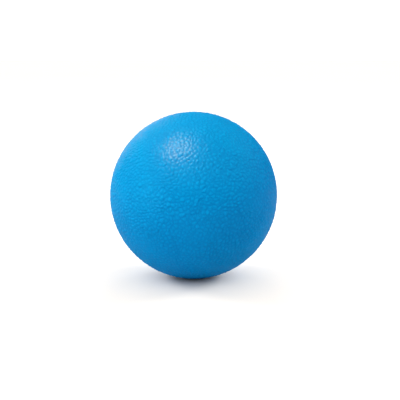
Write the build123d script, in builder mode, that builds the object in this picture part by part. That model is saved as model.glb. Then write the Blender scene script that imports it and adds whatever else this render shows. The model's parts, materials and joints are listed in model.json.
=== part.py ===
from build123d import *

import math
import os

# A stress ball: a soft foam core moulded inside a coloured skin, in a two-part mould.
# The origin is the centre of the small flat that the ball rests on, with +Z up.
# The front mould half faces -Y. Lengths are in millimetres and angles in degrees.

# Driving dimensions
ball_diameter = 63.0
skin_thickness = 0.8
contact_radius = 4.0  # the flat that the ball's own weight presses into its underside
mould_tilt = 10.0  # how far the mould axis rises towards the front
seam_width = 1.2  # band of touch-up coat over the trimmed parting line
seam_depth = 0.25
vent_radius = 2.5  # hole left in the rear skin where the foam vented
vent_patch_radius = 3.2
vent_patch_thickness = 0.4

# Sizes worked out from those
ball_radius = ball_diameter / 2
core_radius = ball_radius - skin_thickness
groove_radius = ball_radius - seam_depth
centre_height = math.sqrt(ball_radius**2 - contact_radius**2)
quarter_turn = 90.0
seam_half_angle = math.degrees(math.asin(seam_width / 2 / ball_radius))

# The mould's own frame: its origin is the ball's centre and its axis points out of the front.
# The parting line is where the plane across that axis cuts the ball, clear of the flat.
mould_direction = Vector(0, -1, 0).rotate(Axis.X, -mould_tilt)
mould = Plane((0, 0, centre_height), x_dir=(1, 0, 0), z_dir=mould_direction)
mould_axis = Axis(mould.origin, mould.z_dir)

# Half sections are drawn here, with x away from the mould axis and y along it, to the front.
section = Plane(mould.origin, x_dir=mould.x_dir, z_dir=-mould.y_dir)

# The vent opens at the rear pole, and this plane touches the ball there.
vent = Plane(mould.origin - mould.z_dir * ball_radius, x_dir=mould.x_dir, z_dir=-mould.z_dir)


def skin_section(side):
    """A quarter ring with the seam groove stepped into its rim; side is 1 in front, -1 behind."""
    seam = side * seam_half_angle
    pole = side * quarter_turn
    with BuildSketch(section) as quarter_ring:
        with BuildLine():
            outside = CenterArc((0, 0), ball_radius, seam, pole - seam)
            inside = CenterArc((0, 0), core_radius, 0, pole)
            groove_floor = CenterArc((0, 0), groove_radius, 0, seam)
            Line(inside @ 0, groove_floor @ 0)
            Line(groove_floor @ 1, outside @ 0)
            Line(outside @ 1, inside @ 1)
        make_face()
    return quarter_ring.sketch


# Foam core: fills the skin, with a trimmed stub standing in the vent hole
with BuildPart() as foam_core:
    with Locations(mould):
        Sphere(core_radius)
    with BuildSketch(Plane(mould.origin, x_dir=mould.x_dir, z_dir=vent.z_dir)):
        Circle(vent_radius)
    extrude(amount=ball_radius - vent_patch_thickness)
foam_core.part.label = "foam_core"

# Front skin: the grained half that faces the viewer
with BuildPart() as skin_front:
    revolve(skin_section(1), axis=mould_axis)
skin_front.part.label = "skin_front"

# Rear skin: the other half, holed and stepped for the vent, and flat where it meets a table
with BuildPart() as skin_rear:
    revolve(skin_section(-1), axis=mould_axis)
    with Locations(vent):
        CounterBoreHole(
            radius=vent_radius,
            counter_bore_radius=vent_patch_radius,
            counter_bore_depth=vent_patch_thickness,
            depth=ball_radius,
        )
    split(bisect_by=Plane.XY, keep=Keep.TOP)
skin_rear.part.label = "skin_rear"

# Seam touch-up: a thin band that fills the groove round the parting line, flush with the skin
with BuildPart() as seam_touch_up:
    with BuildSketch(section):
        with BuildLine():
            band_outside = CenterArc((0, 0), ball_radius, -seam_half_angle, 2 * seam_half_angle)
            band_inside = CenterArc((0, 0), groove_radius, -seam_half_angle, 2 * seam_half_angle)
            Line(band_inside @ 0, band_outside @ 0)
            Line(band_inside @ 1, band_outside @ 1)
        make_face()
    revolve(axis=mould_axis)
seam_touch_up.part.label = "seam_touch_up"

# Vent touch-up: a thin disc that seals the trimmed stub, domed to the ball's own curve
with BuildPart() as vent_touch_up:
    with BuildSketch(vent.offset(-vent_patch_thickness)):
        Circle(vent_patch_radius)
    extrude(amount=vent_patch_thickness)
    with Locations(mould):
        Sphere(ball_radius, mode=Mode.INTERSECT)
vent_touch_up.part.label = "vent_touch_up"

os.makedirs("parts", exist_ok=True)
for piece in (foam_core, skin_front, skin_rear, seam_touch_up, vent_touch_up):
    export_step(piece.part, f"parts/{piece.part.label}.step")
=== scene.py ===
import json
import math
import random

import bmesh
import bpy
import numpy as np
from mathutils import Matrix, Vector, noise
from mathutils.kdtree import KDTree

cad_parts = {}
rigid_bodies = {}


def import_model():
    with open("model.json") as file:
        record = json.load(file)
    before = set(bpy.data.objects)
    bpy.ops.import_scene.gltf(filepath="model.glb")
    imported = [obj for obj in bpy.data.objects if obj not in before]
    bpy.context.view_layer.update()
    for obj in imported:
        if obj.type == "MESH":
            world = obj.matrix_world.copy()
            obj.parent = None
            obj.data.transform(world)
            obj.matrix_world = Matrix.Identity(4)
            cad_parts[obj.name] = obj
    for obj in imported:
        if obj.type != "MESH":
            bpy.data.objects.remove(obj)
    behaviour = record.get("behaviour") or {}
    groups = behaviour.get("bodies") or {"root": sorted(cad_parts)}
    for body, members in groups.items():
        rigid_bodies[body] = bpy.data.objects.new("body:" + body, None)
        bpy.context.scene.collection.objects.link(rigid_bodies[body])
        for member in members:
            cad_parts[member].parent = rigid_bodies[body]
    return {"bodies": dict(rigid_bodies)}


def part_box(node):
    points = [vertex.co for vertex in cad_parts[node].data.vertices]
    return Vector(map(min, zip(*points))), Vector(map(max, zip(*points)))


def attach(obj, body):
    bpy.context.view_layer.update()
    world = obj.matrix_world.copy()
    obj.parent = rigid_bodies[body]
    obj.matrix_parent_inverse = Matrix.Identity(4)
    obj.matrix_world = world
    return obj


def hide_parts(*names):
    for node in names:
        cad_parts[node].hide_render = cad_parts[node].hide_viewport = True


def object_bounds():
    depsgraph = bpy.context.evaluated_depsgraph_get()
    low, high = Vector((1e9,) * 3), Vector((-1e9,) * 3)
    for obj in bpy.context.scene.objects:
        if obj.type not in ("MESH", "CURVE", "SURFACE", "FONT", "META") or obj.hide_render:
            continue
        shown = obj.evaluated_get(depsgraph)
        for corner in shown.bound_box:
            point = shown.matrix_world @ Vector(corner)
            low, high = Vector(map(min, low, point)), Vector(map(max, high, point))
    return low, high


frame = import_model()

# The looks of a moulded foam stress ball. Lengths are in metres, or in millimetres times MM.
MM = 0.001

# ---- The ball, read from the frame -------------------------------------------------------

CAD_LOW, CAD_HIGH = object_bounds()
BALL_RADIUS = (CAD_HIGH.x - CAD_LOW.x) / 2
BALL_CENTRE = Vector((0, 0, CAD_HIGH.z - BALL_RADIUS))
REST_HEIGHT = CAD_LOW.z

core_low, core_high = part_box("foam_core")
CORE_RADIUS = (core_high.x - core_low.x) / 2

# The seam band's box gives the mould's tilt and the band's width: its depth along Y spans the
# tilt plus the band's half angle, and its height along Z the tilt minus it.
seam_low, seam_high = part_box("seam_touch_up")
widest = math.asin((seam_high.y - seam_low.y) / 2 / BALL_RADIUS)
tallest = math.acos((seam_high.z - seam_low.z) / 2 / BALL_RADIUS)
MOULD_TILT = (widest + tallest) / 2
SEAM_HALF_ANGLE = (widest - tallest) / 2

patch_low, patch_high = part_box("vent_touch_up")
PATCH_RADIUS = (patch_high.x - patch_low.x) / 2

SEAM_DEPTH = 0.25 * MM
VENT_RADIUS = 2.5 * MM
PATCH_THICKNESS = 0.4 * MM
GROOVE_RADIUS = BALL_RADIUS - SEAM_DEPTH
STUB_HEIGHT = BALL_RADIUS - PATCH_THICKNESS
QUARTER = math.pi / 2
PATCH_ANGLE = math.asin(PATCH_RADIUS / BALL_RADIUS)

# From the mould's frame, whose Z is its axis and points out of the front, to the row's frame
MOULD = Matrix.Translation(BALL_CENTRE) @ Matrix.Rotation(QUARTER - MOULD_TILT, 4, "X")
MOULD_TURN = np.array(MOULD.to_3x3())

# ---- Meshes ------------------------------------------------------------------------------

GRID = 288  # squares along each side of a skin's outer grid, about 0.27 mm each
COARSE = 4  # hidden surfaces have this many times fewer squares
VENT_SQUARES = 12  # half width, in squares, of the hole that the vent leaves in the rear grid
FIRST_BEARING = -math.pi / 4  # every loop starts at the grid's first corner
SHARP_ANGLE = math.radians(62)
BAKE_MAP = "OFBake"  # the name of the map that lays each surface out flat for its materials
GRID_SHARE = 0.94  # the bake map's share, each way, that the outer grid takes
STRIPS = 12  # how many strips the rest of the map has room for
STRIP_FILL = 0.8  # the share of its room that a strip fills


def square_loop(half, reach):
    """The grid positions round a square, anticlockwise, 8 for each unit of reach."""
    steps = range(2 * reach)
    low, high = half - reach, half + reach
    side = [(high, low + s) for s in steps] + [(high - s, high) for s in steps]
    return side + [(low, high - s) for s in steps] + [(low + s, low) for s in steps]


class Shell:
    """One closed mesh, gathered patch by patch in the mould's frame.

    side is 1 in front and -1 behind. On the bake map the strips stand side by side, right of
    strips_from.
    """

    def __init__(self, side=1, strips=STRIPS, strips_from=GRID_SHARE):
        self.side = side
        self.strip_width = (1 - strips_from) / strips
        self.next_strip = strips_from
        self.points = []
        self.relief = []
        self.faces = []
        self.corners = []

    def add(self, points, relief=None):
        """Adds points and returns their numbers. relief is 1 on a pebble's top and 0 in a crease."""
        first = len(self.points)
        self.points.extend(map(tuple, points))
        self.relief.extend([1.0] * len(points) if relief is None else relief)
        return list(range(first, len(self.points)))

    def ring(self, count, reach, height):
        """A loop of points round the mould axis, reach from it and height along it."""
        bearings = [FIRST_BEARING + 2 * math.pi * n / count for n in range(count)]
        return self.add([(reach * math.cos(b), reach * math.sin(b), self.side * height) for b in bearings])

    def cap(self, cells, inner, outer, surface, hole=0, corner=(0.0, 0.0), share=GRID_SHARE):
        """A square grid bent into a round cap about the mould axis, with squares of equal area.

        inner and outer are the polar angles of its hole and rim. surface turns directions and
        polar angles into points and relief. Returns the loops of the rim and of the hole.
        """
        half = cells // 2
        across, along = np.meshgrid(np.arange(cells + 1), np.arange(cells + 1), indexing="ij")
        a = (across - half).ravel().astype(float)
        b = (along - half).ravel().astype(float)
        reach = np.maximum(abs(a), abs(b))
        steep = abs(b) > abs(a)
        long_side = np.where(steep, b, a)
        slope = np.where(steep, a, b) / np.where(long_side == 0, 1, long_side)
        bearing = np.where(steep, QUARTER - slope * math.pi / 4, slope * math.pi / 4)
        bearing += np.where(long_side < 0, math.pi, 0)
        spread = (reach**2 - hole**2) / (half**2 - hole**2)
        low, high = math.sin(inner / 2) ** 2, math.sin(outer / 2) ** 2
        polar = 2 * np.arcsin(np.sqrt(np.clip(low + (high - low) * spread, 0, 1)))
        used = np.flatnonzero(reach >= hole)
        polar, bearing = polar[used], bearing[used]
        directions = np.column_stack(
            [np.sin(polar) * np.cos(bearing), np.sin(polar) * np.sin(bearing), self.side * np.cos(polar)]
        )
        numbers = np.full(len(a), -1)
        numbers[used] = self.add(*surface(directions, polar))
        numbers = numbers.reshape(cells + 1, cells + 1)
        uv = np.stack([across, along], axis=-1) / cells * share + corner
        middle = abs(np.arange(cells) + 0.5 - half)
        keep = np.argwhere(np.maximum.outer(middle, middle) > hole)
        for i, j in keep.tolist():
            square = [(i, j), (i + 1, j), (i + 1, j + 1), (i, j + 1)]
            self.faces.append([int(numbers[place]) for place in square])
            self.corners.extend(uv[place] for place in square)
        loops = [square_loop(half, reach) for reach in (half, hole) if reach]
        return [[int(numbers[place]) for place in loop] for loop in loops]

    def strip(self, fine, coarse):
        """Faces between two loops. The first has as many points as the second, or COARSE times."""
        ratio = len(fine) // len(coarse)
        left = self.next_strip
        right = left + self.strip_width * STRIP_FILL
        self.next_strip += self.strip_width
        count = len(fine)

        def fine_corner(n):
            return fine[n % count], (left, GRID_SHARE * n / count)

        def coarse_corner(n):
            return coarse[n % len(coarse)], (right, GRID_SHARE * n * ratio / count)

        for n in range(len(coarse)):
            if ratio == 1:
                self.face([fine_corner(n), fine_corner(n + 1), coarse_corner(n + 1), coarse_corner(n)])
                continue
            turn = ratio // 2
            for step in range(ratio):
                hub = coarse_corner(n + (step >= turn))
                self.face([fine_corner(ratio * n + step), fine_corner(ratio * n + step + 1), hub])
            self.face([fine_corner(ratio * n + turn), coarse_corner(n + 1), coarse_corner(n)])

    def face(self, corners):
        self.faces.append([number for number, uv in corners])
        self.corners.extend(uv for number, uv in corners)

    def close(self, loop):
        """One flat face over a hidden loop, in the bake map's top right corner."""
        self.faces.append(list(loop))
        middle = (1 + GRID_SHARE) / 2
        reach = (1 - GRID_SHARE) / 2 * STRIP_FILL
        bearings = [2 * math.pi * n / len(loop) for n in range(len(loop))]
        self.corners.extend((middle + reach * math.cos(b), middle + reach * math.sin(b)) for b in bearings)

    def build(self, name, material, flat_below=None):
        """Makes the object. Points under flat_below are pressed up to that height."""
        points = np.array(self.points) @ MOULD_TURN.T + np.array(BALL_CENTRE)
        if flat_below is not None:
            points[:, 2] = np.maximum(points[:, 2], flat_below)
        mesh = bpy.data.meshes.new(name)
        mesh.from_pydata(points.tolist(), [], self.faces)
        bake_map = mesh.uv_layers.new(name=BAKE_MAP)
        bake_map.data.foreach_set("uv", np.array(self.corners, np.float32).ravel())
        relief = mesh.attributes.new("relief", "FLOAT", "POINT")
        relief.data.foreach_set("value", np.array(self.relief, np.float32))
        tidy = bmesh.new()
        tidy.from_mesh(mesh)
        bmesh.ops.recalc_face_normals(tidy, faces=tidy.faces)
        tidy.to_mesh(mesh)
        tidy.free()
        mesh.shade_smooth()
        mesh.set_sharp_from_angle(angle=SHARP_ANGLE)
        mesh.materials.append(material)
        piece = bpy.data.objects.new(name, mesh)
        bpy.context.scene.collection.objects.link(piece)
        return piece


# ---- The leather grain -------------------------------------------------------------------

PEBBLE = 1.45 * MM  # the middle size of a pebble of the grain
GRAIN_DEPTH = 0.34 * MM
SHOULDER = 1.0 * MM  # the width over which a pebble rounds down into its crease
PEBBLE_LEAN = 0.17  # how steeply a pebble's top may lean
DULLEST = 0.35  # how much less rubbed than the most rubbed pebble the least rubbed one is
UNEVEN = 0.42  # how far a pebble may be from its even place, as a share of its size
WARP_SIZE = 5.0 * MM
WARP = 0.75 * MM  # how far the grain's cells are pulled out of shape
FRONT_SEED = 11
REAR_SEED = 23
NOISE_SHIFT = Vector((3.1, 1.7, 2.3))  # moves the noise, times the seed, so that no two skins match
WRINKLE_SIZE = 0.9 * MM
WRINKLE_DEPTH = 0.02 * MM
PATCH_SIZE = 11.0 * MM  # across the patches where the grain came out deeper or shallower
SHALLOWEST = 0.55  # the grain's depth there, as a share of its full depth
SMOOTH_EDGE = 0.5 * MM  # the grain fades out this near the trimmed seam and the vent
LIP = 0.6 * MM  # the width over which a skin's edge rolls down to meet the touch-up coat
LIP_DROP = 0.12 * MM

NOISE_SEED = 7
noise.seed_set(NOISE_SEED)  # without it, noise_vector differs from run to run


def scattered(count, uneven, chance):
    """Points spread evenly over the ball, each nudged by up to uneven."""
    golden = math.pi * (3 - math.sqrt(5))
    points = []
    for n in range(count):
        height = 1 - (2 * n + 1) / count
        reach = math.sqrt(1 - height * height)
        point = Vector((reach * math.cos(golden * n), reach * math.sin(golden * n), height)) * BALL_RADIUS
        point += Vector([chance.uniform(-uneven, uneven) for axis in "xyz"])
        points.append(point.normalized() * BALL_RADIUS)
    return points


def cell_field(size, uneven, seed):
    """A function of a point on the ball: how far it is from its cell's edge, a lean and a tone."""
    chance = random.Random(seed)
    centres = scattered(round(4 * math.pi * BALL_RADIUS**2 / size**2), uneven, chance)
    leans = [Vector([chance.uniform(-1, 1) for axis in "xyz"]) for centre in centres]
    tones = [chance.random() for centre in centres]
    tree = KDTree(len(centres))
    for n, centre in enumerate(centres):
        tree.insert(centre, n)
    tree.balance()

    def field(point):
        (centre, number, near), (_, _, far) = tree.find_n(point, 2)
        return far - near, leans[number].dot(point - centre), tones[number]

    return field


def grain(seed):
    """A function of a direction: how far the grain lies under the ball's surface, and its relief."""
    pebbles = cell_field(PEBBLE, UNEVEN * PEBBLE, seed)
    offset = NOISE_SHIFT * seed

    def texture(direction):
        point = Vector(direction) * BALL_RADIUS
        pull = noise.noise_vector(point / WARP_SIZE + offset)
        edge, lean, tone = pebbles(point + pull * WARP)
        share = min(1.0, edge / SHOULDER)
        dome = math.sin(QUARTER * share)
        patch = min(1.0, max(0.0, 0.5 + noise.noise(point / PATCH_SIZE - offset)))
        strength = SHALLOWEST + (1 - SHALLOWEST) * patch
        wrinkle = WRINKLE_DEPTH * noise.noise(point / WRINKLE_SIZE + offset)
        depth = GRAIN_DEPTH * strength * (1 - dome) - PEBBLE_LEAN * lean * share + wrinkle
        return depth, dome * (1 - DULLEST * tone)

    return texture


def faded(distance):
    """0 at an edge to 1 where the grain is whole, for distances from the edge."""
    share = np.clip(distance / SMOOTH_EDGE, 0, 1)
    return share * share * (3 - 2 * share)


def skin_surface(seed, holed):
    """The grained outside of a skin, its pebble tops on the ball's own surface."""
    texture = grain(seed)
    rim = QUARTER - SEAM_HALF_ANGLE

    def surface(directions, polar):
        depth, relief = np.array([texture(direction) for direction in directions.tolist()]).T
        edge = (rim - polar) * BALL_RADIUS
        if holed:
            edge = np.minimum(edge, (polar - PATCH_ANGLE) * BALL_RADIUS)
        whole = faded(edge)
        lip = LIP_DROP * (1 - np.clip(edge / LIP, 0, 1)) ** 2
        return directions * (BALL_RADIUS - depth * whole - lip)[:, None], 1 - (1 - relief) * whole

    return surface


def even_surface(radius):
    """A plain round surface, for what is hidden inside."""

    def surface(directions, polar):
        return directions * radius, np.ones(len(polar))

    return surface


def make_skin(name, side, seed, material):
    """One half of the skin: grained outside, stepped rim, smooth inside."""
    holed = side < 0
    shell = Shell(side)
    rim_angle = QUARTER - SEAM_HALF_ANGLE
    if holed:
        rim, hole = shell.cap(GRID, PATCH_ANGLE, rim_angle, skin_surface(seed, True), VENT_SQUARES)
    else:
        (rim,) = shell.cap(GRID, 0, rim_angle, skin_surface(seed, False))
    count = len(rim)
    step_top = shell.ring(count, GROOVE_RADIUS * math.sin(rim_angle), GROOVE_RADIUS * math.cos(rim_angle))
    step_foot = shell.ring(count, GROOVE_RADIUS, 0)
    inside_corner = (GRID_SHARE, GRID_SHARE)
    inside = dict(surface=even_surface(CORE_RADIUS), corner=inside_corner, share=1 - GRID_SHARE)
    if holed:
        vent_angle = math.asin(VENT_RADIUS / CORE_RADIUS)
        loops = shell.cap(GRID // COARSE, vent_angle, QUARTER, hole=VENT_SQUARES // COARSE, **inside)
        inner_rim, inner_hole = loops
        ledge = shell.ring(len(hole), PATCH_RADIUS, STUB_HEIGHT)
        throat = shell.ring(len(inner_hole), VENT_RADIUS, STUB_HEIGHT)
        shell.strip(hole, ledge)
        shell.strip(ledge, throat)
        shell.strip(throat, inner_hole)
    else:
        (inner_rim,) = shell.cap(GRID // COARSE, 0, QUARTER, **inside)
    shell.strip(rim, step_top)
    shell.strip(step_top, step_foot)
    shell.strip(step_foot, inner_rim)
    return shell.build(name, material, flat_below=REST_HEIGHT)


# ---- The touch-up coat -------------------------------------------------------------------

BAND_SEGMENTS = 720
BAND_STEPS = 10
BAND_CROWN = 0.08 * MM  # how far the band's middle stands up from its edges
TRIM_MARK = 0.02 * MM  # height of the marks that trimming the flash leaves
TRIM_LENGTH = 4.0 * MM


def band_loop(place):
    """One loop of the band's outside; place is -1 on its rear edge and 1 on its front edge."""
    angle = SEAM_HALF_ANGLE * place
    loop = []
    for n in range(BAND_SEGMENTS):
        bearing = 2 * math.pi * n / BAND_SEGMENTS
        around = Vector((math.cos(bearing), math.sin(bearing), 0))
        mark = TRIM_MARK * noise.noise(around * BALL_RADIUS / TRIM_LENGTH) * (1 - place**4)
        radius = BALL_RADIUS - BAND_CROWN * place * place + mark
        loop.append(around * radius * math.cos(angle) + Vector((0, 0, radius * math.sin(angle))))
    return loop


def make_seam_band(material):
    """The thin band over the parting line, crowned, with the uneven marks of trimming."""
    shell = Shell(strips=BAND_STEPS + 3, strips_from=0.0)
    loops = [shell.add(band_loop(2 * step / BAND_STEPS - 1)) for step in range(BAND_STEPS + 1)]
    for edge in (1, -1):
        angle = SEAM_HALF_ANGLE * edge
        groove = Vector((GROOVE_RADIUS * math.cos(angle), 0, GROOVE_RADIUS * math.sin(angle)))
        turns = [Matrix.Rotation(2 * math.pi * n / BAND_SEGMENTS, 3, "Z") for n in range(BAND_SEGMENTS)]
        loops.append(shell.add([turn @ groove for turn in turns]))
    for first, second in zip(loops, loops[1:] + loops[:1]):
        shell.strip(first, second)
    return shell.build("seam_band", material, flat_below=REST_HEIGHT)


PATCH_GRID = 40
PATCH_DISH = 0.22 * MM  # the touched-up vent sinks a little as it dries
PATCH_RIPPLE = 0.05 * MM
PATCH_ROUND = 0.1 * MM  # how far its edge rolls down
RIPPLE_SIZE = 1.6 * MM


def make_vent_patch(material):
    """The disc over the trimmed vent stub, slightly dished, with soft ripples."""
    shell = Shell(-1)

    def surface(directions, polar):
        share = polar / PATCH_ANGLE
        dish = PATCH_DISH * (1 - share**2) ** 2 + PATCH_ROUND * share**8
        spots = [Vector(direction) * BALL_RADIUS / RIPPLE_SIZE for direction in directions.tolist()]
        ripple = PATCH_RIPPLE * np.array([noise.noise(spot) for spot in spots]) * (1 - share**4)
        return directions * (BALL_RADIUS - dish - abs(ripple))[:, None], np.ones(len(polar))

    (rim,) = shell.cap(PATCH_GRID, 0, PATCH_ANGLE, surface)
    foot = shell.ring(len(rim), PATCH_RADIUS, STUB_HEIGHT)
    shell.strip(rim, foot)
    shell.close(foot)
    return shell.build("vent_patch", material)


# ---- The foam core -----------------------------------------------------------------------

CORE_GRID = 96
STUB_SQUARES = 4  # half width, in squares, of the stub's foot
CORE_GAP = 0.03 * MM
FOAM_CELL = 2.2 * MM
FOAM_PIT = 0.28 * MM
FOAM_SEED = 5
NO_HOLE = -QUARTER  # an angle that no point of a half ball is near


def core_surface(hole_angle):
    """A round surface pitted by burst foam cells, smooth at the equator and near the hole."""
    cells = cell_field(FOAM_CELL, UNEVEN * FOAM_CELL, FOAM_SEED)

    def surface(directions, polar):
        edges = [cells(Vector(direction) * BALL_RADIUS)[0] for direction in directions.tolist()]
        pit = np.sqrt(np.clip(np.array(edges) / FOAM_CELL, 0, 1))
        pit *= faded(np.minimum(QUARTER - polar, polar - hole_angle) * CORE_RADIUS)
        return directions * (CORE_RADIUS - CORE_GAP - FOAM_PIT * pit)[:, None], 1 - pit

    return surface


def make_foam_core(material):
    """The cellular core: a ball with a stub that fills the vent."""
    share = GRID_SHARE / 2
    stub_angle = math.asin(VENT_RADIUS / CORE_RADIUS)
    shell = Shell()
    (front_rim,) = shell.cap(CORE_GRID, 0, QUARTER, core_surface(NO_HOLE), share=share)
    shell.side = -1
    rear_surface = core_surface(stub_angle)
    loops = shell.cap(CORE_GRID, stub_angle, QUARTER, rear_surface, STUB_SQUARES, (share, 0.0), share)
    rear_rim, stub_foot = loops
    shell.strip(front_rim, rear_rim)
    stub_top = shell.ring(len(stub_foot), VENT_RADIUS - CORE_GAP, STUB_HEIGHT - CORE_GAP)
    shell.strip(stub_foot, stub_top)
    shell.close(stub_top)
    return shell.build("foam_core_mesh", material)


# ---- Materials ---------------------------------------------------------------------------

RANGE_SOCKETS = ("From Min", "From Max", "To Min", "To Max")
USUAL_NOISE = (0.3, 0.7)  # nearly all values of a noise are between these
FINE_DETAIL = 3  # a noise's detail, where it is more than the usual 2


class Look:
    """A material and short ways to add its nodes."""

    def __init__(self, name):
        self.material = bpy.data.materials.new(name)
        self.material.use_nodes = True
        self.tree = self.material.node_tree
        self.shader = next(n for n in self.tree.nodes if n.type == "BSDF_PRINCIPLED")
        self.place = self.node("ShaderNodeTexCoord").outputs["Object"]

    def node(self, kind, **settings):
        made = self.tree.nodes.new(kind)
        for key, value in settings.items():
            setattr(made, key, value)
        return made

    def feed(self, socket, value):
        """Links an output to a socket, or sets the socket to a plain value."""
        if isinstance(value, bpy.types.NodeSocket):
            self.tree.links.new(value, socket)
        else:
            socket.default_value = value

    def noise(self, size, detail=2.0, roughness=0.5):
        """Smooth noise, 0 to 1, whose features are about size across."""
        made = self.node("ShaderNodeTexNoise")
        self.feed(made.inputs["Vector"], self.place)
        made.inputs["Scale"].default_value = 1 / size
        made.inputs["Detail"].default_value = detail
        made.inputs["Roughness"].default_value = roughness
        return made.outputs["Fac"]

    def cells(self, size):
        """The distance from each cell's middle, for cells about size across."""
        made = self.node("ShaderNodeTexVoronoi")
        self.feed(made.inputs["Vector"], self.place)
        made.inputs["Scale"].default_value = 1 / size
        return made.outputs["Distance"]

    def relief(self):
        """The grain's height that the mesh carries: 0 in a crease, 1 on a pebble."""
        return self.node("ShaderNodeAttribute", attribute_name="relief").outputs["Fac"]

    def ranged(self, value, low, high, new_low, new_high):
        made = self.node("ShaderNodeMapRange")
        self.feed(made.inputs["Value"], value)
        for name, limit in zip(RANGE_SOCKETS, (low, high, new_low, new_high)):
            made.inputs[name].default_value = limit
        return made.outputs["Result"]

    def mixed(self, share, first, second, blend="MIX"):
        made = self.node("ShaderNodeMix", data_type="RGBA", blend_type=blend)
        self.feed(made.inputs["Factor"], share)
        colours = [socket for socket in made.inputs if socket.type == "RGBA"]
        self.feed(colours[0], first)
        self.feed(colours[1], second)
        return next(socket for socket in made.outputs if socket.type == "RGBA")

    def varied(self, size, low, high, detail=2.0):
        """Smooth noise whose usual range runs from low to high."""
        return self.ranged(self.noise(size, detail), *USUAL_NOISE, low, high)

    def sum(self, first, second):
        made = self.node("ShaderNodeMath", operation="ADD")
        self.feed(made.inputs[0], first)
        self.feed(made.inputs[1], second)
        return made.outputs["Value"]

    def bump(self, height, distance, strength):
        made = self.node("ShaderNodeBump")
        made.inputs["Strength"].default_value = strength
        made.inputs["Distance"].default_value = distance
        self.feed(made.inputs["Height"], height)
        return made.outputs["Normal"]

    def vector(self, operation, *values):
        made = self.node("ShaderNodeVectorMath", operation=operation)
        for socket, value in zip(made.inputs, values):
            self.feed(socket, value)
        return made.outputs["Vector"]

    def levelled_normal(self, share):
        """The surface's normal, turned this share of the way to the normal of a smooth ball."""
        outward = self.vector("NORMALIZE", self.vector("SUBTRACT", self.place, BALL_CENTRE))
        turned = self.node(
            "ShaderNodeVectorTransform", vector_type="NORMAL", convert_from="OBJECT", convert_to="WORLD"
        )
        self.feed(turned.inputs["Vector"], outward)
        pull = [share / (1 - share)] * 3
        normal = self.node("ShaderNodeNewGeometry").outputs["Normal"]
        return self.vector("NORMALIZE", self.vector("MULTIPLY_ADD", turned.outputs["Vector"], pull, normal))


PEBBLE_BLUE = (0.0, 0.19, 0.465, 1)
# painted shade: the creases are coloured darker, standing in for the shade that falls in them
CREASE_SHADE_BLUE = (0.0, 0.15, 0.396, 1)
WORN_BLUE = (0.0, 0.20, 0.475, 1)
COAT_BLUE = (0.0, 0.15, 0.41, 1)

SATIN_COAT = 0.25
COAT_INDEX = 1.2  # low, so that the shine rises steeply towards the outline
SKIN_SHINE = 0.37  # roughness of the satin coat on the skin
TOUCH_UP_SHINE = 0.3
COAT_LEVELLING = 0.55  # how far the coat levels out the grain: 0 follows it and 1 is a smooth ball

SHADED_RELIEF = (0.2, 1.0)  # the skin's colour runs from the painted crease shade to the pebble's blue between these reliefs
WORN_SIZE = 14 * MM  # across the patches where handling has lightened the colour
WORN_NOISE = (0.4, 0.7)
WORN_SHARE = 0.4
SPECKLE_SIZE = 0.35 * MM
SPECKLE_SHADES = (0.94, 1.06)
SKIN_ROUGHNESS = (0.55, 0.3)  # in a crease and on a pebble
ROUGH_PATCH_SIZE = 9 * MM
ROUGH_SPREAD = 0.04
FINE_WRINKLE_SIZE = 0.5 * MM
FINE_WRINKLE_ROUGHNESS = 0.6
PORE_SIZE = 0.42 * MM
FINE_DEPTH = 0.03 * MM  # of the wrinkles and pores that are only in the bump
FINE_STRENGTH = 0.6


def make_satin(look, coat_roughness):
    """A thin satin coat, which gives all the shine."""
    look.shader.inputs["Specular IOR Level"].default_value = 0.0
    look.shader.inputs["Coat Weight"].default_value = SATIN_COAT
    look.shader.inputs["Coat Roughness"].default_value = coat_roughness
    look.shader.inputs["Coat IOR"].default_value = COAT_INDEX


def skin_look():
    look = Look("grained blue skin")
    relief = look.relief()
    # painted shade: the colour darkens from the pebble tops down into the creases
    colour = look.mixed(look.ranged(relief, *SHADED_RELIEF, 0, 1), CREASE_SHADE_BLUE, PEBBLE_BLUE)
    worn = look.ranged(look.noise(WORN_SIZE, FINE_DETAIL), *WORN_NOISE, 0, WORN_SHARE)
    colour = look.mixed(worn, colour, WORN_BLUE)
    speckle = look.varied(SPECKLE_SIZE, *SPECKLE_SHADES)
    look.feed(look.shader.inputs["Base Color"], look.mixed(1.0, colour, speckle, "MULTIPLY"))
    rough = look.ranged(relief, 0.0, 1.0, *SKIN_ROUGHNESS)
    rough = look.sum(rough, look.varied(ROUGH_PATCH_SIZE, -ROUGH_SPREAD, ROUGH_SPREAD, FINE_DETAIL))
    look.feed(look.shader.inputs["Roughness"], rough)
    wrinkles = look.noise(FINE_WRINKLE_SIZE, FINE_DETAIL, FINE_WRINKLE_ROUGHNESS)
    height = look.sum(wrinkles, look.cells(PORE_SIZE))
    look.feed(look.shader.inputs["Normal"], look.bump(height, FINE_DEPTH, FINE_STRENGTH))
    make_satin(look, SKIN_SHINE)
    look.feed(look.shader.inputs["Coat Normal"], look.levelled_normal(COAT_LEVELLING))
    return look.material


COAT_CLOUD_SIZE = 3 * MM  # across the uneven patches of the brushed coat
COAT_SHADES = (0.9, 1.08)
COAT_ROUGH_SIZE = 2 * MM
COAT_ROUGHNESS = (0.3, 0.42)
COAT_PEEL_SIZE = 0.8 * MM
COAT_PEEL_DEPTH = 0.02 * MM
COAT_PEEL_STRENGTH = 0.5


def coat_look():
    look = Look("smooth touch-up coat")
    shade = look.varied(COAT_CLOUD_SIZE, *COAT_SHADES, FINE_DETAIL)
    look.feed(look.shader.inputs["Base Color"], look.mixed(1.0, COAT_BLUE, shade, "MULTIPLY"))
    look.feed(look.shader.inputs["Roughness"], look.varied(COAT_ROUGH_SIZE, *COAT_ROUGHNESS))
    peel = look.bump(look.noise(COAT_PEEL_SIZE, FINE_DETAIL), COAT_PEEL_DEPTH, COAT_PEEL_STRENGTH)
    look.feed(look.shader.inputs["Normal"], peel)
    make_satin(look, TOUCH_UP_SHINE)
    return look.material


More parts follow.
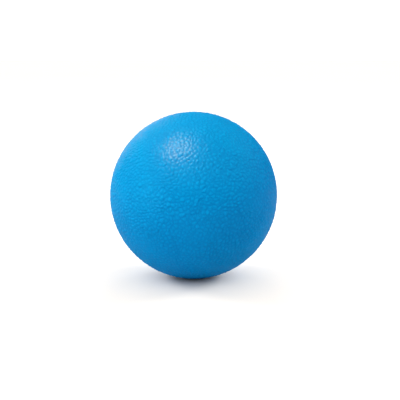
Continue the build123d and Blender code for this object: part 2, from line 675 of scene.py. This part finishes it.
FOAM_BLUE = (0.36, 0.58, 0.74, 1)
PIT_SHADE_BLUE = (0.16, 0.36, 0.55, 1)  # painted shade, darker deep in a burst cell
SMALL_CELL_BLUE = (0.22, 0.44, 0.62, 1)
SMALL_CELL = 0.7 * MM
SMALL_CELL_SPAN = (0.1, 0.5)  # where its colour comes in, in cell sizes from the cell's middle
SMALL_CELL_SHARE = 0.5
FOAM_ROUGH_TO = 0.6  # where the foam's roughness stops changing, in cell sizes too
FOAM_ROUGHNESS = (0.95, 0.8)
SMALL_CELL_DEPTH = 0.12 * MM
SMALL_CELL_STRENGTH = 0.8


def foam_look():
    look = Look("cellular foam")
    # painted shade: darker towards the bottom of each burst cell's pit
    colour = look.mixed(look.relief(), PIT_SHADE_BLUE, FOAM_BLUE)
    cells = look.cells(SMALL_CELL)
    tinted = look.ranged(cells, *SMALL_CELL_SPAN, 0, SMALL_CELL_SHARE)
    look.feed(look.shader.inputs["Base Color"], look.mixed(tinted, colour, SMALL_CELL_BLUE))
    look.feed(look.shader.inputs["Roughness"], look.ranged(cells, 0.0, FOAM_ROUGH_TO, *FOAM_ROUGHNESS))
    height = look.bump(cells, SMALL_CELL_DEPTH, SMALL_CELL_STRENGTH)
    look.feed(look.shader.inputs["Normal"], height)
    return look.material


# ---- The pieces --------------------------------------------------------------------------

BODY = next(iter(frame["bodies"]))
ball = bpy.data.collections.new("ball")


def install(piece, node):
    """The piece stands for its CAD node and rides where that does."""
    ball.objects.link(piece)
    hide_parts(node)
    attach(piece, BODY)
    return piece


skin = skin_look()
coat = coat_look()
install(make_skin("skin_front_grained", 1, FRONT_SEED, skin), "skin_front")
install(make_skin("skin_rear_grained", -1, REAR_SEED, skin), "skin_rear")
install(make_seam_band(coat), "seam_touch_up")
install(make_vent_patch(coat), "vent_touch_up")
core = install(make_foam_core(foam_look()), "foam_core")

# ---- The stage: a white table in a white room, under soft studio light ---------------------

TABLE_SIZE = 6.0
TABLE_WHITE = (0.86, 0.815, 0.76, 1)  # warm enough to cancel the blue that the ball throws on it
TABLE_PATCH_SIZE = 0.4
TABLE_SHADES = (0.99, 1.0)
TABLE_ROUGHNESS = 0.9
table_only = bpy.data.collections.new("table")


def floor_look():
    look = Look("pale studio table")
    shade = look.varied(TABLE_PATCH_SIZE, *TABLE_SHADES)
    look.feed(look.shader.inputs["Base Color"], look.mixed(1.0, TABLE_WHITE, shade, "MULTIPLY"))
    look.shader.inputs["Roughness"].default_value = TABLE_ROUGHNESS
    look.shader.inputs["Specular IOR Level"].default_value = 0.0
    return look.material


def make_table():
    mesh = bpy.data.meshes.new("table")
    half = TABLE_SIZE / 2
    corners = [(-half, -half, 0), (half, -half, 0), (half, half, 0), (-half, half, 0)]
    mesh.from_pydata(corners, [], [(0, 1, 2, 3)])
    mesh.materials.append(floor_look())
    table = bpy.data.objects.new("table", mesh)
    table.location.z = REST_HEIGHT
    table_only.objects.link(table)
    bpy.context.scene.collection.objects.link(table)


# How bright the room is, where 1 is white, and the part of a direction's height or depth over
# which one brightness gives way to the next
FLOOR_LINE_LIGHT = 1.05
SIDE_LIGHT = 1.8
WALL_RISE = (0.2, 0.35)
CEILING_LIGHT = 0.3
CEILING_EDGE = (0.75, 0.92)
BACKDROP_LIGHT = 2.0
BACKDROP_EDGE = (0.6, 0.95)
FRONT_SHADE = 0.92
FRONT_EDGE = (-0.35, -0.85)
LOW_EDGE = (0.3, 0.6)  # above this the backdrop and the dark front give way to the walls


def ramp(tree, value, edge, results):
    """A smooth step of a value from one result to the other, across an edge."""
    node = tree.nodes.new("ShaderNodeMapRange")
    node.interpolation_type = "SMOOTHSTEP"
    tree.links.new(value, node.inputs["Value"])
    for name, limit in zip(RANGE_SOCKETS, (*edge, *results)):
        node.inputs[name].default_value = limit
    return node.outputs["Result"]


def math_node(tree, operation, first, second):
    node = tree.nodes.new("ShaderNodeMath")
    node.operation = operation
    tree.links.new(first, node.inputs[0])
    tree.links.new(second, node.inputs[1])
    return node.outputs["Value"]


def make_room():
    """Soft light from every side, little from the ceiling or the front, most from the backdrop.

    The camera sees it plain white. It is left out of reflections, which the softboxes give.
    """
    world = bpy.data.worlds.new("white room")
    bpy.context.scene.world = world
    world.use_nodes = True
    world.cycles_visibility.glossy = False
    tree = world.node_tree
    direction = tree.nodes.new("ShaderNodeTexCoord").outputs["Generated"]
    split = tree.nodes.new("ShaderNodeSeparateXYZ")
    tree.links.new(direction, split.inputs["Vector"])
    depth, height = split.outputs["Y"], split.outputs["Z"]
    walls = ramp(tree, height, WALL_RISE, (FLOOR_LINE_LIGHT, SIDE_LIGHT))
    ceiling = ramp(tree, height, CEILING_EDGE, (0.0, SIDE_LIGHT - CEILING_LIGHT))
    backdrop = ramp(tree, depth, BACKDROP_EDGE, (0.0, BACKDROP_LIGHT))
    shade = ramp(tree, depth, FRONT_EDGE, (0.0, FRONT_SHADE))
    low = ramp(tree, height, LOW_EDGE, (1.0, 0.0))
    lower = math_node(tree, "MULTIPLY", math_node(tree, "SUBTRACT", backdrop, shade), low)
    strength = math_node(tree, "ADD", math_node(tree, "SUBTRACT", walls, ceiling), lower)
    seen = tree.nodes.new("ShaderNodeLightPath").outputs["Is Camera Ray"]
    background = next(n for n in tree.nodes if n.type == "BACKGROUND")
    background.inputs["Color"].default_value = (1, 1, 1, 1)
    tree.links.new(math_node(tree, "MAXIMUM", strength, seen), background.inputs["Strength"])


LIGHT_DISTANCE = 0.8
KEY_WAY = (-0.28, -0.235, 0.931)  # over the ball, a little to the left and front
RIM_WAY = (-0.42, 0.86, 0.3)  # behind the ball, a little to the left
WHITE = (1, 1, 1)
KEY_TINT = (1, 1, 0.6)
GLOSS_TINT = (1, 0.9, 0.58)
RIM_TINT = (1, 0.5, 0.2)
FILL_TINT = (1, 1, 0.95)
LEFT_TINT = (1, 1, 0.5)
RIGHT_TINT = (1, 1, 0.8)
TABLE_TINT = (1, 0.98, 0.95)


def make_softbox(name, way, size, brightness, colour=WHITE, lit=None, gloss=False):
    """A round area light that faces the ball from this way; brightness is 1 for white.

    It lights everything, or only what is in the collection lit. It gives either gloss or soft
    light, never both, so that each can be set by itself.
    """
    light = bpy.data.lights.new(name, "AREA")
    light.shape = "DISK"
    light.size = size
    light.color = colour
    light.energy = brightness * math.pi * (math.pi * size**2 / 4)
    softbox = bpy.data.objects.new(name, light)
    softbox.location = BALL_CENTRE + Vector(way).normalized() * LIGHT_DISTANCE
    softbox.rotation_euler = (BALL_CENTRE - softbox.location).to_track_quat("-Z", "Y").to_euler()
    softbox.visible_diffuse = not gloss
    softbox.visible_glossy = gloss
    if lit:
        softbox.light_linking.receiver_collection = lit
    bpy.context.scene.collection.objects.link(softbox)


def make_lights():
    make_softbox("key", KEY_WAY, size=0.24, brightness=48.0, colour=KEY_TINT, lit=ball)
    make_softbox("key gloss", KEY_WAY, size=0.14, brightness=870.0, colour=GLOSS_TINT, lit=ball, gloss=True)
    make_softbox("rim gloss", RIM_WAY, size=0.5, brightness=7.0, colour=RIM_TINT, lit=ball, gloss=True)
    make_softbox("front fill", (-0.3, -0.62, 0.72), size=0.3, brightness=0.5, colour=FILL_TINT, lit=ball)
    make_softbox("back fill", (0.0, 0.7, 0.72), size=0.2, brightness=4.0)
    make_softbox("left fill", (-1.0, -0.1, 0.25), size=0.5, brightness=1.6, colour=LEFT_TINT, lit=ball)
    make_softbox("right fill", (1.0, 0.1, 0.25), size=0.5, brightness=0.6, colour=RIGHT_TINT, lit=ball)
    make_softbox("low fill", (-0.8, -0.58, 0.0), size=0.4, brightness=8.2, colour=FILL_TINT, lit=ball)
    for name, right in (("table left", -0.95), ("table right", 0.95)):
        way = (right, 0.38, 0.5)
        make_softbox(name, way, size=0.25, brightness=18.0, colour=TABLE_TINT, lit=table_only)


# ---- The camera --------------------------------------------------------------------------

CAMERA_ELEVATION = math.radians(10)
CAMERA_DISTANCE = 357 * MM
CAMERA_LENS = 85  # in plain millimetres, as the camera takes it
AIM_RIGHT = 2.4 * MM  # the ball stands a little left of the picture's middle
AIM_DOWN = 1.8 * MM  # and a little above it


def make_camera():
    camera = bpy.data.objects.new("camera", bpy.data.cameras.new("camera"))
    camera.data.lens = CAMERA_LENS
    back = Vector((0, -math.cos(CAMERA_ELEVATION), math.sin(CAMERA_ELEVATION)))
    up = Vector((0, math.sin(CAMERA_ELEVATION), math.cos(CAMERA_ELEVATION)))
    target = BALL_CENTRE + Vector((AIM_RIGHT, 0, 0)) - up * AIM_DOWN
    camera.location = target + back * CAMERA_DISTANCE
    camera.rotation_euler = (QUARTER - CAMERA_ELEVATION, 0, 0)
    bpy.context.scene.collection.objects.link(camera)
    bpy.context.scene.camera = camera


make_table()
make_room()
make_lights()
make_camera()
bpy.context.scene.view_settings.view_transform = "Standard"
